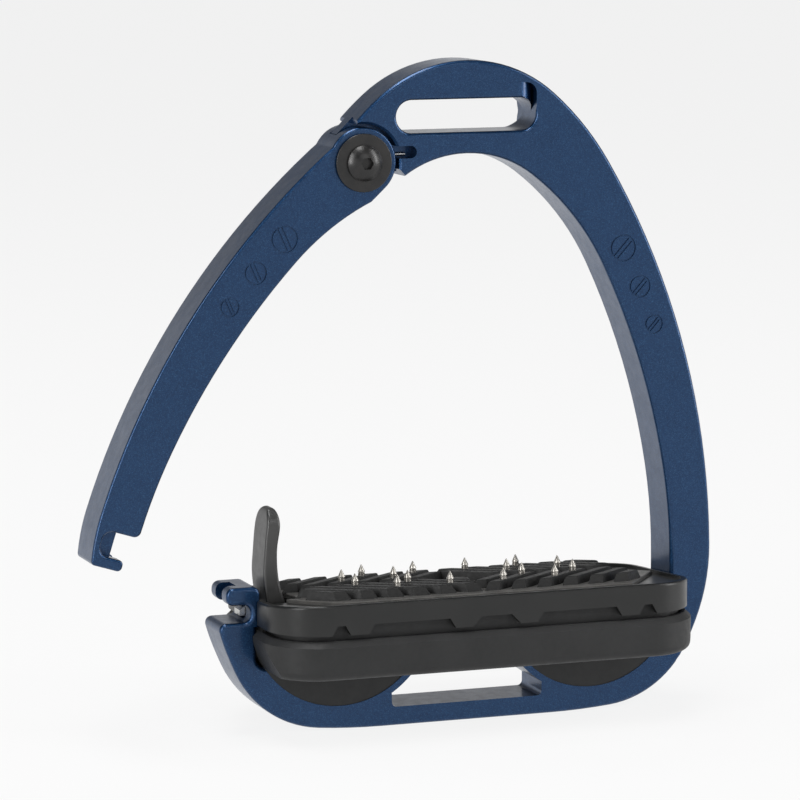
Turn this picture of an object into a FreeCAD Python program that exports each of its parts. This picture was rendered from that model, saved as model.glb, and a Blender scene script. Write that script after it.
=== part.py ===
import FreeCAD, Part
import math
import os

# Safety stirrup iron with a release arm, shown with the arm open.
# Origin: middle of the flat underside of the frame. X across the foot, Y to the back, Z up, in mm.

# ---- driving dimensions: frame and release arm -------------------------------------------------
DEPTH = 14.4                 # frame and arm, front face to back face
HALF = DEPTH / 2
EDGE_ROUND = 1.1             # rounding of the front and back edges of the frame
ARM_EDGE_ROUND = 0.8
OUTER_BENDS = ((38.0, 40.5), (78.0, 18.0), (210.0, 30.5), (54.0, 23.0), (132.0, 2.5),
               (28.5, 60.0), (183.0, 5.5))          # radius and turn, from the top to the underside
INNER_BENDS = ((30.8, 37.0), (70.0, 27.0), (206.5, 16.5), (154.0, 9.5))
INNER_TOP = 152.9            # crown of the foot opening
SADDLE_Z = 18.2              # seat of the tread base on the frame
LOBE_X = 36.0                # the two round pockets of the base
LOBE_Z = 32.0
LOBE_R = 25.4
WINDOW_HALF_X = 21.6         # opening in the base, between the pockets
WINDOW_FLOOR = 5.2
WEB = 1.7                    # wall left between a pocket and that opening
SADDLE_ROUND = 3.0           # corner between the seat and a leg

# ---- eye for the stirrup leather ---------------------------------------------------------------
EYE_LEFT = -20.1
EYE_RIGHT = 19.4
EYE_R = 4.35
EYE_Z = 163.0
EYE_ROUND = 1.0
RELIEF_START = 14.0          # ramped recess beside the eye's right end
RELIEF_DEPTH = 4.4
RELIEF_HIGH = 171.4
RELIEF_CORNER = 2.8

# ---- hinge -------------------------------------------------------------------------------------
PIVOT_X = -29.5
PIVOT_Z = 151.3
OPEN_ANGLE = 17.5            # from closed on the nose to fully open
BOSS_R = 9.3
BOSS_GAP_R = 10.2            # round cut in the frame's cheeks
TONGUE_R = 8.4
TONGUE_HALF = 2.2
FORK_HALF = 2.8
FORK_R = 9.2
FRAME_END_X = -31.0
GAP_CHAMFER = 0.6
LIP = ((-17.2, 147.0), (-19.3, 149.3), (-19.3, 151.3))     # front end of the frame below the hinge
STOP = ((-35.2, 158.6), (-30.9, 162.9), (-25.0, 163.0))    # tongue's shoulder above the boss
CHIN = ((-26.02, 138.58), (-21.41, 146.72))                # arm's inner edge running up to the boss
CREASE = (-38.68, 152.79)                                  # where the arm's back meets the boss
CREASE_ROUND = 2.0
BUSH_R = 4.5
BARREL_R = 3.5
RUNNING_CLEARANCE = 0.05
COIL_R = 5.2
WIRE_R = 0.5
CAVITY_R = 6.2
CAVITY_DEPTH = 2.8
COIL_TURNS = 1.55
COIL_PITCH = 1.05
LEG_RISE = 1.7               # fixed leg above the pivot
LEG_END_X = -16.6
LEG_SLOT_ANGLES = (2.0, 50.0)
POCKET_Z = 153.75            # spring slot in the frame's front face
POCKET_R = 1.65
POCKET_END_X = -16.2
POCKET_DEPTH = 4.4
WASHER_R = 7.7
WASHER_T = 0.8
WASHER_GAP = 0.1
HEAD_R = 4.75                # M5 button head
HEAD_H = 2.75
SOCKET_AF = 3.0
SOCKET_DEPTH = 1.6
SHANK_R = 2.5

# ---- nose, ledge and hook ----------------------------------------------------------------------
LEDGE_Z = 30.8
NECK_X = -61.0
NOSE_LEFT = -67.7
NOSE_LOW = 35.5
NOSE_HIGH = 40.2
NOSE_RIGHT = -58.4
NOSE_ROUND = 2.0
GROOVE_ROUND = 2.0
NECK_FOOT = 29.6
LEDGE_ROUND = 1.8
PAWL_HEADROOM = 1.7
FORK_SLOT_HALF = 2.8
FORK_SLOT_END = -63.8
HOOK_LOW = 31.2
TOE_TOP = 34.2
SHELF_Z = 40.9
NOTCH_X = -69.2
TOE_TIP_X = -61.8
RIB_HALF = 2.2
RIB_X = -64.6
TOE_ROUND = 1.2
SHELF_ROUND = 1.8
NOTCH_ROUND = 2.6
HEEL_X = -70.3
CATCH_HALF = 2.9             # room in the toe for the latch pawl

# ---- tread -------------------------------------------------------------------------------------
BASE_HALF_X = 60.7
BASE_HALF_Y = 30.0
BASE_CORNER = 15.0
BASE_TOP = 28.8
BASE_WALL = 2.4
BASE_TOP_BEVEL = 1.6
BASE_LOW_ROUND = 2.4
HUB_ROOM = 3.4               # round room in the base for the lever's hub
UPSTAND_INSET = 3.4
UPSTAND_T = 1.4
UPSTAND_TOP = 35.0           # before it is trimmed parallel to the rim's underside
UPSTAND_GAP = 1.4            # left above it, more than the tread's travel
BASE_FLAT_X = 45.0           # straight part of the base between its round ends
LEG_CLEAR = 0.2              # tread base to the frame's legs
LEG_GUARD_T = 1.8
UPSTAND_END_Y = 9.5
RIM_HALF_X = 59.6
RIM_HALF_Y = 29.2
RIM_CORNER = 14.2
RIM_LOW = 30.2
RIM_TOP_Z = 36.0             # on the centre line; the top falls towards the back
SLOPE = 4.5
RIM_WALL = 2.0
RIM_TOP_T = 2.4
RIM_LIP = 1.6
PAD_SEAT = 1.0
TOOTH_HEIGHT = 2.6
TOOTH_GAPS = ((-43.4, 1.1, 2.6), (-23.7, 10.5, 12.1), (0.0, 4.2, 6.8), (23.7, 10.5, 12.1), (43.4, 1.1, 2.6))
NOTCH_HALF_Y = 7.8
LEFT_NOTCH_X = -48.0
RIGHT_NOTCH_X = 58.9
POST_X = 38.0                # four guide posts, each with a rubber buffer round it
POST_Y = 18.0
GUIDE_R = 2.0
GUIDE_BORE_R = 2.3
GUIDE_HEAD_BORE_R = 4.2
GUIDE_BOSS_R = 4.4
GUIDE_BOSS_LOW = 8.9         # above the seat, as the next two heights are
BUFFER_LOW = 4.4
BUFFER_HIGH = 8.8
BUFFER_R = 5.6
BUFFER_BORE_R = 2.6
BUFFER_SEAT_R = 6.0

# ---- grip pad and studs ------------------------------------------------------------------------
BAR_HALF_W = 1.5
BAR_H = 2.3
BAR_PITCH = 7.4
BAR_FIRST = 14.6             # |x| + |y| of the innermost chevron
BAR_COUNT = 7
BAR_OUTER_Y = 19.5
BAR_INNER_Y = 1.3
BAR_END_X = 45.8
PAD_BOSS_R = 3.2
PAD_BOSS_H = 1.6
PAD_HALF_Y = 24.0
PAD_TIP_X = 57.0
PAD_SHOULDER_X = 41.0
STUD_PLACES = ((7.6, 14.4), (16.4, 5.6), (22.5, 14.3), (31.3, 5.5))
STUD_R = 0.95
STUD_TIP = 5.4
STUD_CONE = 2.0
COLLAR_R = 1.7
COLLAR_H = 1.3

# ---- release lever -----------------------------------------------------------------------------
LEVER_PIVOT = (-54.0, 23.6)
LEVER_HALF_Y = 5.5
LEVER_LEFT = -55.8
LEVER_RIGHT = -52.2
LEVER_TOP = 60.6
LEVER_FOOT_Z = 32.4
LEVER_CURVE = ((-55.8, 34.0), (-56.6, 39.0), (-56.9, 43.0), (-56.6, 48.0), (-56.2, 53.0), (-55.6, 57.5),
               (-54.4, 60.2), (-53.2, 60.2), (-52.2, 58.2), (-52.1, 55.5), (-52.8, 51.0), (-53.0, 47.0),
               (-52.7, 42.5), (-51.9, 38.5), (-50.9, 35.2), (-50.6, 33.6))
PIN_R = 1.5
LEVER_ROUND = 0.8
HUB_R = 3.0
EAR_T = 3.3
EAR_HALF = 3.3
PAWL_HALF_Y = 2.3
RIVET = (-54.3, 33.2)
RIVET_R = 1.0
SPRING_R = 1.7
SPRING_WIRE_R = 0.4
SPRING_PITCH = 1.5
SPRING_Z = 28.0
SPRING_END_X = -46.5

# ---- engraved circles --------------------------------------------------------------------------
CIRCLES = ((44.6, 126.3, 3.7), (49.6, 115.7, 3.1), (53.8, 105.3, 2.65))
GROOVE_W = 0.5
GROOVE_DEPTH = 0.3
GROOVE_SLANT = 48.0


def point(x, z, y=0.0):
    return FreeCAD.Vector(x, y, z)


def block(x0, x1, y0, y1, z0, z1):
    return Part.makeBox(x1 - x0, y1 - y0, z1 - z0, FreeCAD.Vector(x0, y0, z0))


def rod(x, z, radius, y0, y1):
    return Part.makeCylinder(radius, y1 - y0, point(x, z, y0), FreeCAD.Vector(0, 1, 0))


def post(x, y, radius, z0, z1):
    return Part.makeCylinder(radius, z1 - z0, FreeCAD.Vector(x, y, z0))


def mirrored(shape):
    return shape.mirror(FreeCAD.Vector(0, 0, 0), FreeCAD.Vector(1, 0, 0))


def turned(shape, angle, x, z):
    """The shape turned about a line along Y; a positive angle swings its top towards +X."""
    copy = shape.copy()
    copy.rotate(point(x, z), FreeCAD.Vector(0, 1, 0), angle)
    return copy


def prism(points, y0, y1):
    corners = [point(x, z, y0) for x, z in points]
    face = Part.Face(Part.makePolygon(corners + corners[:1]))
    return face.extrude(FreeCAD.Vector(0, y1 - y0, 0))


def rounded_plate(half_x, half_y, corner, z0, z1):
    plate = block(-half_x, half_x, -half_y, half_y, z0, z1)
    upright = [edge for edge in plate.Edges if edge.BoundBox.ZLength > (z1 - z0) / 2]
    return plate.makeFillet(corner, upright)


def rounded_bar(x0, x1, z0, z1, radius, y0, y1):
    bar = block(x0, x1, y0, y1, z0, z1)
    along = [edge for edge in bar.Edges if edge.BoundBox.YLength > (y1 - y0) / 2]
    return bar.makeFillet(radius, along)


def edges_along_y(body, places, reach=0.6):
    """Straight edges from front to back that pass near the given (x, z) places."""
    found = []
    for edge in body.Edges:
        box = edge.BoundBox
        if box.YLength < 2 * HALF - 0.1 or box.XLength > 0.01:
            continue
        if any(abs(box.Center.x - x) < reach and abs(box.Center.z - z) < reach for x, z in places):
            found.append(edge)
    return found


def face_edges(body):
    """Outline edges of the front and back faces."""
    return [edge for edge in body.Edges
            if edge.BoundBox.YLength < 0.01 and abs(abs(edge.BoundBox.YMin) - HALF) < 0.01]


def within(edge, x0, x1, z0, z1):
    box = edge.BoundBox
    return box.XMin > x0 and box.XMax < x1 and box.ZMin > z0 and box.ZMax < z1


def bend_edges(start, bends):
    """Tangent arcs from start, heading along +X and turning down; returns edges and end."""
    x, z = start
    heading = 0.0
    edges = []
    for radius, turn in bends:
        centre_x = x - radius * math.sin(heading)
        centre_z = z - radius * math.cos(heading)

        def at(angle):
            return point(centre_x + radius * math.sin(angle), centre_z + radius * math.cos(angle))

        after = heading + math.radians(turn)
        edges.append(Part.Arc(at(heading), at((heading + after) / 2), at(after)).toShape())
        x = at(after).x
        z = at(after).z
        heading = after
    return edges, (x, z)


def drop_of(bends):
    total = 0.0
    heading = 0.0
    for radius, turn in bends:
        after = heading + math.radians(turn)
        total += radius * (math.cos(heading) - math.cos(after))
        heading = after
    return total


HEIGHT = drop_of(OUTER_BENDS)
WALL_X = bend_edges((0.0, INNER_TOP), INNER_BENDS)[1][0]     # inner wall of both legs beside the tread


def symmetric_solid(edges, closing, y0, y1):
    """Half outline plus its mirror image, closed by the closing points on the right half."""
    right = list(edges)
    corners = [point(x, z) for x, z in closing]
    for first, second in zip(corners, corners[1:]):
        right.append(Part.makeLine(first, second))
    left = [mirrored(edge) for edge in right]
    wire = Part.Wire(Part.__sortEdges__(right + left))
    solid = Part.Face(wire).extrude(FreeCAD.Vector(0, y1 - y0, 0))
    solid.translate(FreeCAD.Vector(0, y0, 0))
    return solid


def outer_solid():
    edges, end = bend_edges((0.0, HEIGHT), OUTER_BENDS)
    return symmetric_solid(edges, (end, (0.0, end[1])), -HALF, HALF)


def opening_solid():
    edges, end = bend_edges((0.0, INNER_TOP), INNER_BENDS)
    solid = symmetric_solid(edges, (end, (WALL_X, SADDLE_Z), (0.0, SADDLE_Z)), -HALF - 1, HALF + 1)
    return solid.makeFillet(SADDLE_ROUND, edges_along_y(solid, ((WALL_X, SADDLE_Z), (-WALL_X, SADDLE_Z))))


def ring():
    """The closed outline of frame and arm, with sharp edges and no base pockets."""
    return outer_solid().cut(opening_solid())


def eye_slot():
    left, right = EYE_LEFT + EYE_R, EYE_RIGHT - EYE_R
    slot = block(left, right, -HALF - 1, HALF + 1, EYE_Z - EYE_R, EYE_Z + EYE_R)
    for x in (left, right):
        slot = slot.fuse(rod(x, EYE_Z, EYE_R, -HALF - 1, HALF + 1))
    return slot.removeSplitter()


def relief(low):
    """Recess in the front face beside the eye's right end, curving in from a soft shoulder."""
    run = EYE_RIGHT - RELIEF_START
    radius = (run ** 2 + RELIEF_DEPTH ** 2) / (2 * RELIEF_DEPTH)
    half_turn = math.asin(run / radius) / 2
    start = FreeCAD.Vector(RELIEF_START, -HALF, low)
    middle = start + FreeCAD.Vector(radius * math.sin(half_turn), radius * (1 - math.cos(half_turn)), 0)
    corners = [FreeCAD.Vector(EYE_RIGHT, -HALF + RELIEF_DEPTH, low), FreeCAD.Vector(EYE_RIGHT, -HALF - 1, low),
               FreeCAD.Vector(RELIEF_START, -HALF - 1, low), start]
    outline = [Part.Arc(start, middle, corners[0]).toShape()]
    outline += [Part.makeLine(first, second) for first, second in zip(corners, corners[1:])]
    wedge = Part.Face(Part.Wire(outline)).extrude(FreeCAD.Vector(0, 0, RELIEF_HIGH - low))
    top = [edge for edge in wedge.Edges if edge.BoundBox.XLength < 0.01 and edge.BoundBox.YLength > 1
           and edge.BoundBox.ZMin > RELIEF_HIGH - 0.01]
    return wedge.makeFillet(RELIEF_CORNER, top)


def circle_tools():
    """Grooves of the three engraved circles, each with a slanted bar, on the right leg's front."""
    tools = []
    for x, z, radius in CIRCLES:
        depth = -HALF + GROOVE_DEPTH
        groove = rod(x, z, radius, -HALF - 1, depth).cut(rod(x, z, radius - GROOVE_W, -HALF - 2, depth + 1))
        half_bar = radius - GROOVE_W / 2
        for side in (-1, 1):
            offset = side * radius * 0.16
            bar = block(-half_bar, half_bar, -HALF - 1, depth, offset - GROOVE_W / 2, offset + GROOVE_W / 2)
            bar = turned(bar, -GROOVE_SLANT, 0, 0)
            bar.translate(point(x, z))
            groove = groove.fuse(bar)
        tools.append(groove)
    return tools


def nose():
    """Nose on its neck above the ledge, before its fork is cut."""
    body = rounded_bar(NOSE_LEFT, NOSE_RIGHT, NOSE_LOW, NOSE_HIGH, NOSE_ROUND, -HALF, HALF)
    neck = block(NECK_X, NOSE_RIGHT, -HALF, HALF, NECK_FOOT, NOSE_HIGH - NOSE_ROUND)
    cheek = block(NECK_X - GROOVE_ROUND, NECK_X + 0.5, -HALF, HALF, LEDGE_Z - 0.5, NOSE_LOW + 0.5)
    groove = rounded_bar(NECK_X - 9, NECK_X, LEDGE_Z, NOSE_LOW, GROOVE_ROUND, -HALF - 1, HALF + 1)
    return body.fuse(neck).fuse(cheek.cut(groove))


def fork_tools():
    """Slot between the nose's prongs and the window for the latch pawl."""
    slot = block(NOSE_LEFT - 1, FORK_SLOT_END, -FORK_SLOT_HALF, FORK_SLOT_HALF, NOSE_LOW - 1, NOSE_HIGH + 1)
    window = block(NECK_X - 3, NOSE_RIGHT + 1, -FORK_SLOT_HALF, FORK_SLOT_HALF,
                   LEDGE_Z + 0.4, NOSE_LOW + PAWL_HEADROOM)
    return slot, window


def frame_outline():
    """Frame without its eye and its pockets, with rounded front and back edges."""
    away = ((-90, LEDGE_Z), (-45, LEDGE_Z), (-45, 100), (-17.2, 140)) + LIP
    away = away + ((FRAME_END_X, PIVOT_Z), (FRAME_END_X, HEIGHT + 1), (-90, HEIGHT + 1))
    body = ring().cut(prism(away, -HALF - 1, HALF + 1))
    body = body.cut(rod(PIVOT_X, PIVOT_Z, BOSS_GAP_R, -HALF - 1, HALF + 1)).removeSplitter()
    body = body.fuse(nose()).removeSplitter()
    body = body.makeFillet(LEDGE_ROUND, edges_along_y(body, ((-70.07, LEDGE_Z),)))
    rounded = []
    for edge in face_edges(body):
        at_seat = within(edge, -WALL_X - 0.1, WALL_X + 0.1, SADDLE_Z - 1, 37)
        at_hinge = within(edge, -34, -17, 146, HEIGHT)
        if not at_seat and not at_hinge:
            rounded.append(edge)
    return body.makeFillet(EDGE_ROUND, rounded)


def cut_hinge(body):
    """Chamfered cheeks round the boss, the tongue between them, and the spring's slot."""
    for side in (-1, 1):
        cone = Part.makeCone(BOSS_GAP_R, BOSS_GAP_R + GAP_CHAMFER + 0.2, GAP_CHAMFER + 0.2,
                             point(PIVOT_X, PIVOT_Z, side * (HALF - GAP_CHAMFER)), FreeCAD.Vector(0, side, 0))
        body = body.cut(cone)
    body = body.fuse(rod(PIVOT_X, PIVOT_Z, TONGUE_R, -TONGUE_HALF, TONGUE_HALF))
    neck = ((PIVOT_X, PIVOT_Z),) + STOP + ((-17.0, 155.0), (-17.0, 148.4), (PIVOT_X, 148.4))
    body = body.fuse(prism(neck, -TONGUE_HALF, TONGUE_HALF))
    body = body.cut(rod(PIVOT_X, PIVOT_Z, BARREL_R, -HALF - 1, HALF + 1))
    slot = rod(POCKET_END_X, POCKET_Z, POCKET_R, -HALF - 1, -HALF + POCKET_DEPTH)
    slot = slot.fuse(block(PIVOT_X + BOSS_R, POCKET_END_X, -HALF - 1, -HALF + POCKET_DEPTH,
                           POCKET_Z - POCKET_R, POCKET_Z + POCKET_R))
    return body.cut(slot)


def cut_eye(body):
    body = body.cut(eye_slot())
    rims = [edge for edge in face_edges(body)
            if within(edge, EYE_LEFT - 1, EYE_RIGHT + 1, EYE_Z - EYE_R - 1, EYE_Z + EYE_R + 1)]
    body = body.makeFillet(EYE_ROUND, rims)
    back = relief(EYE_Z - EYE_R).mirror(FreeCAD.Vector(0, 0, 0), FreeCAD.Vector(0, 1, 0))
    return body.cut(relief(EYE_Z)).cut(back)


def cut_base(body):
    """Window between the pockets, the pockets for the tread base and its screw holes."""
    window = rounded_bar(-WINDOW_HALF_X, WINDOW_HALF_X, WINDOW_FLOOR, SADDLE_Z + 5, 1.4, -HALF - 1, HALF + 1)
    for side in (-1, 1):
        window = window.cut(rod(side * LOBE_X, LOBE_Z, LOBE_R + WEB, -HALF - 2, HALF + 2))
    body = body.cut(window)
    for side in (-1, 1):
        body = body.cut(rod(side * LOBE_X, LOBE_Z, LOBE_R, -HALF - 1, HALF + 1).common(
            block(-WALL_X, WALL_X, -HALF - 1, HALF + 1, 0, NECK_FOOT)))
        body = body.cut(post(side * LOBE_X, 0, SHANK_R + 0.2, -1, 10))
        body = body.cut(post(side * LOBE_X, 0, HEAD_R + 0.25, -1, 3.0))
    return body


def make_frame():
    body = cut_base(cut_eye(cut_hinge(frame_outline())))
    for tool in fork_tools():
        body = body.cut(tool)
    for tool in circle_tools():
        body = body.cut(tool)
    return body.removeSplitter()


def arm_outline():
    """Release arm in its closed place, the mirror image of the other leg, with its hook."""
    zone = ((-90, HOOK_LOW), (-40, HOOK_LOW), (-40, 100)) + CHIN
    zone = zone + ((PIVOT_X, PIVOT_Z), (PIVOT_X - 9, PIVOT_Z + 16), (-90, PIVOT_Z + 16))
    body = ring().common(prism(zone, -HALF - 1, HALF + 1))
    body = body.fuse(rod(PIVOT_X, PIVOT_Z, BOSS_R, -HALF, HALF)).removeSplitter()
    notch = rounded_bar(NOTCH_X, -40, TOE_TOP, SHELF_Z, NOTCH_ROUND, -HALF - 1, HALF + 1)
    tip = block(TOE_TIP_X, -40, -HALF - 1, HALF + 1, HOOK_LOW - 1, TOE_TOP + 0.5)
    body = body.cut(notch).cut(tip).removeSplitter()
    body = body.makeFillet(CREASE_ROUND, edges_along_y(body, (CREASE,)))
    toe = ((TOE_TIP_X, TOE_TOP), (TOE_TIP_X, HOOK_LOW), (HEEL_X, HOOK_LOW))
    body = body.makeFillet(TOE_ROUND, edges_along_y(body, toe))
    body = body.makeFillet(SHELF_ROUND, edges_along_y(body, ((-WALL_X, SHELF_Z),)))
    return body.makeFillet(ARM_EDGE_ROUND, face_edges(body))


def closed_arm():
    """The arm with its fork, bores, catch and circles, before it is swung open."""
    body = arm_outline()
    body = body.cut(rod(PIVOT_X, PIVOT_Z, FORK_R, -FORK_HALF, FORK_HALF))
    body = body.cut(prism(((PIVOT_X, PIVOT_Z), (PIVOT_X - 16, PIVOT_Z + 10.4),
                           (PIVOT_X - 14, PIVOT_Z + 20), (0, PIVOT_Z + 20), (0, PIVOT_Z - 20),
                           (PIVOT_X + 2, PIVOT_Z - 13)), -FORK_HALF, FORK_HALF))
    body = body.cut(rod(PIVOT_X, PIVOT_Z, BUSH_R, -HALF - 1, HALF + 1))
    body = body.cut(rod(PIVOT_X, PIVOT_Z, CAVITY_R, -FORK_HALF - CAVITY_DEPTH, -FORK_HALF + 0.1))
    body = body.cut(leg_clearance())
    rib = block(NOTCH_X - 1, RIB_X, -RIB_HALF, RIB_HALF, TOE_TOP - 1, SHELF_Z + 1)
    body = body.fuse(rib)
    body = body.cut(block(RIB_X + 0.4, -40, -CATCH_HALF, CATCH_HALF, HOOK_LOW - 1, TOE_TOP + 0.1))
    for tool in circle_tools():
        body = body.cut(mirrored(tool))
    return body.removeSplitter()


def leg_clearance():
    """Sector through the boss wall, in which the spring's fixed leg passes while the arm turns."""
    low, high = [math.radians(angle) for angle in LEG_SLOT_ANGLES]
    reach = BOSS_R + 3
    points = ((PIVOT_X, PIVOT_Z),
              (PIVOT_X + reach * math.cos(low), PIVOT_Z + reach * math.sin(low)),
              (PIVOT_X + reach * math.cos(high), PIVOT_Z + reach * math.sin(high)))
    return prism(points, -FORK_HALF - 2.6, -FORK_HALF + 0.1)


def make_arm():
    return turned(closed_arm(), OPEN_ANGLE, PIVOT_X, PIVOT_Z)


def bush(y0, y1):
    tube = rod(PIVOT_X, PIVOT_Z, BUSH_R, y0, y1)
    return tube.cut(rod(PIVOT_X, PIVOT_Z, BARREL_R + RUNNING_CLEARANCE, y0 - 1, y1 + 1))


def hexagon_prism(flats, y0, y1):
    radius = flats / math.sqrt(3)
    corners = [(radius * math.cos(math.radians(60 * k)), radius * math.sin(math.radians(60 * k)))
               for k in range(6)]
    return prism(corners, y0, y1)


def button_head(radius, height, y_seat):
    """Domed socket head whose top points towards -Y, seated at y_seat, on the Y axis."""
    edge_h = height * 0.25
    sphere_r = (radius ** 2 + (height - edge_h) ** 2) / (2 * (height - edge_h))
    dome = Part.makeSphere(sphere_r, FreeCAD.Vector(0, y_seat - height + sphere_r, 0))
    head = rod(0, 0, radius, y_seat - height, y_seat).common(dome)
    return head.cut(hexagon_prism(SOCKET_AF, y_seat - height - 1, y_seat - height + SOCKET_DEPTH))


def make_hinge_bolt():
    seat = -HALF - WASHER_GAP - WASHER_T
    bolt = button_head(HEAD_R, HEAD_H, seat).fuse(rod(0, 0, SHANK_R, seat, 4.0))
    bolt.translate(point(PIVOT_X, PIVOT_Z))
    return bolt.removeSplitter()


def make_hinge_barrel():
    """Sleeve nut from the back; the arm turns on it and the frame's tongue grips it."""
    face = HALF + WASHER_GAP + WASHER_T
    head = button_head(HEAD_R, HEAD_H, -face)
    head.rotate(FreeCAD.Vector(0, 0, 0), FreeCAD.Vector(0, 0, 1), 180)
    barrel = head.fuse(rod(0, 0, BARREL_R, -HALF - WASHER_GAP, face))
    barrel = barrel.cut(rod(0, 0, SHANK_R, -HALF - 1, 4.5))
    barrel.translate(point(PIVOT_X, PIVOT_Z))
    return barrel.removeSplitter()


def hinge_washer(y0, hole):
    ring_blank = rod(PIVOT_X, PIVOT_Z, WASHER_R, y0, y0 + WASHER_T)
    rims = [edge for edge in ring_blank.Edges if edge.BoundBox.YLength < 0.01]
    return ring_blank.makeFillet(0.25, rims).cut(rod(PIVOT_X, PIVOT_Z, hole, y0 - 1, y0 + 2))


def make_thrust_washers():
    pieces = []
    for y0 in (-TONGUE_HALF - 0.4, TONGUE_HALF):
        blank = rod(PIVOT_X, PIVOT_Z, TONGUE_R, y0, y0 + 0.4)
        pieces.append(blank.cut(rod(PIVOT_X, PIVOT_Z, CAVITY_R + 0.2, y0 - 1, y0 + 1)))
    return Part.makeCompound(pieces)


def make_torsion_spring():
    """Coil round the front bush, with its fixed leg in the frame's slot."""
    helix = Part.makeHelix(COIL_PITCH, COIL_PITCH * COIL_TURNS, COIL_R)
    profile = Part.Wire(Part.makeCircle(WIRE_R, FreeCAD.Vector(COIL_R, 0, 0), FreeCAD.Vector(0, 1, 0)))
    coil = Part.Wire(helix.Edges).makePipeShell([profile], True, True)
    # helix axis +Z becomes -Y, and the coil's end is turned to where its leg leaves it
    coil.rotate(FreeCAD.Vector(0, 0, 0), FreeCAD.Vector(1, 0, 0), 90)
    rise = math.asin(LEG_RISE / COIL_R)
    coil.rotate(FreeCAD.Vector(0, 0, 0), FreeCAD.Vector(0, 1, 0), -math.degrees(rise))
    coil.translate(point(PIVOT_X, PIVOT_Z, -FORK_HALF - 0.6))
    elbow = point(PIVOT_X + COIL_R * math.cos(rise), PIVOT_Z + LEG_RISE, -FORK_HALF - 0.6)
    leg = Part.makeCylinder(WIRE_R, LEG_END_X - elbow.x, elbow, FreeCAD.Vector(1, 0, 0))
    return coil.fuse(leg).fuse(Part.makeSphere(WIRE_R, elbow)).removeSplitter()


def lobe_ends(radius, top):
    """Long block with a drum at each end, the shape of the tread base seen from the front."""
    ends = block(-BASE_FLAT_X, BASE_FLAT_X, -40, 40, SADDLE_Z - 1, top)
    for side in (-1, 1):
        ends = ends.fuse(rod(side * LOBE_X, LOBE_Z, radius, -40, 40))
    return ends


def base_shell():
    """Hollow tray of the tread base, thicker where it stands beside the frame's legs."""
    band = rounded_plate(BASE_HALF_X, BASE_HALF_Y, BASE_CORNER, SADDLE_Z, BASE_TOP)
    top_rim = [edge for edge in band.Edges if edge.BoundBox.ZMin > BASE_TOP - 0.01]
    band = band.makeChamfer(BASE_TOP_BEVEL, top_rim)
    low_rim = [edge for edge in band.Edges if edge.BoundBox.ZMax < SADDLE_Z + 0.01]
    band = band.makeFillet(BASE_LOW_ROUND, low_rim).common(lobe_ends(LOBE_R, BASE_TOP + 1))
    cavity = rounded_plate(BASE_HALF_X - BASE_WALL, BASE_HALF_Y - BASE_WALL, BASE_CORNER - BASE_WALL,
                           SADDLE_Z + BASE_WALL, BASE_TOP + 1)
    cavity = cavity.common(lobe_ends(LOBE_R - BASE_WALL, BASE_TOP + 2))
    guard_x = WALL_X - LEG_CLEAR - LEG_GUARD_T
    guard_y = HALF + LEG_CLEAR + 2
    for side in (-1, 1):
        x0, x1 = sorted((side * guard_x, side * 70))
        cavity = cavity.cut(block(x0, x1, -guard_y, guard_y, 0, 40))
    return band.cut(cavity)


def make_tread_base():
    body = base_shell().fuse(upstand())
    wall_x = WALL_X - LEG_CLEAR
    guard_y = HALF + LEG_CLEAR
    for side in (-1, 1):
        x0, x1 = sorted((side * wall_x, side * 70))
        body = body.cut(block(x0, x1, -guard_y, guard_y, 0, 40))
        lobe = rod(side * LOBE_X, LOBE_Z, LOBE_R, -HALF + LEG_CLEAR, HALF - LEG_CLEAR)
        lobe = lobe.common(block(-wall_x, wall_x, -HALF, HALF, 0, SADDLE_Z + 1))
        body = body.fuse(lobe)
        body = body.cut(post(side * LOBE_X, 0, SHANK_R, 0, SADDLE_Z))
    for x, y in post_places():
        body = body.fuse(post(x, y, BUFFER_SEAT_R, SADDLE_Z, SADDLE_Z + BUFFER_LOW))
        body = body.cut(post(x, y, GUIDE_BORE_R, SADDLE_Z - 1, SADDLE_Z + 6))
        body = body.cut(post(x, y, GUIDE_HEAD_BORE_R, SADDLE_Z - 1, SADDLE_Z + BASE_WALL))
    x, z = LEVER_PIVOT
    body = body.cut(rod(x, z, HUB_ROOM, -LEVER_HALF_Y - 0.3, LEVER_HALF_Y + 0.3))
    return body.fuse(lever_ears()).removeSplitter()


def upstand():
    """Wall set back inside the rim's skirt, left out beside both legs of the frame."""
    half_x = BASE_HALF_X - UPSTAND_INSET
    half_y = BASE_HALF_Y - UPSTAND_INSET
    corner = BASE_CORNER - UPSTAND_INSET
    wall = rounded_plate(half_x, half_y, corner, SADDLE_Z + 1, UPSTAND_TOP)
    wall = wall.cut(rounded_plate(half_x - UPSTAND_T, half_y - UPSTAND_T, corner - UPSTAND_T,
                                  SADDLE_Z, UPSTAND_TOP + 1))
    wall = wall.cut(tilted(block(-80, 80, -60, 60, -RIM_TOP_T - UPSTAND_GAP, 30)))
    wall = wall.cut(block(-70, LEFT_NOTCH_X, -UPSTAND_END_Y, UPSTAND_END_Y, 0, 40))
    return wall.cut(block(50, 70, -UPSTAND_END_Y, UPSTAND_END_Y, 0, 40))


def lever_ears():
    """Two ears for the lever's pin, and a post behind the lever's spring."""
    x, z = LEVER_PIVOT
    floor = SADDLE_Z + 1
    ears = block(SPRING_END_X, SPRING_END_X + 2.2, -4, 4, floor, 30.0)
    for side in (-1, 1):
        y0, y1 = sorted((side * (LEVER_HALF_Y + 0.5), side * (LEVER_HALF_Y + EAR_T)))
        ear = rounded_bar(x - EAR_HALF, x + EAR_HALF, floor, z + EAR_HALF, 2.0, y0, y1)
        ears = ears.fuse(ear)
    return ears.cut(rod(x, z, PIN_R, -12, 12))


def post_places():
    return [(sx * POST_X, sy * POST_Y) for sx in (-1, 1) for sy in (-1, 1)]


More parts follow.
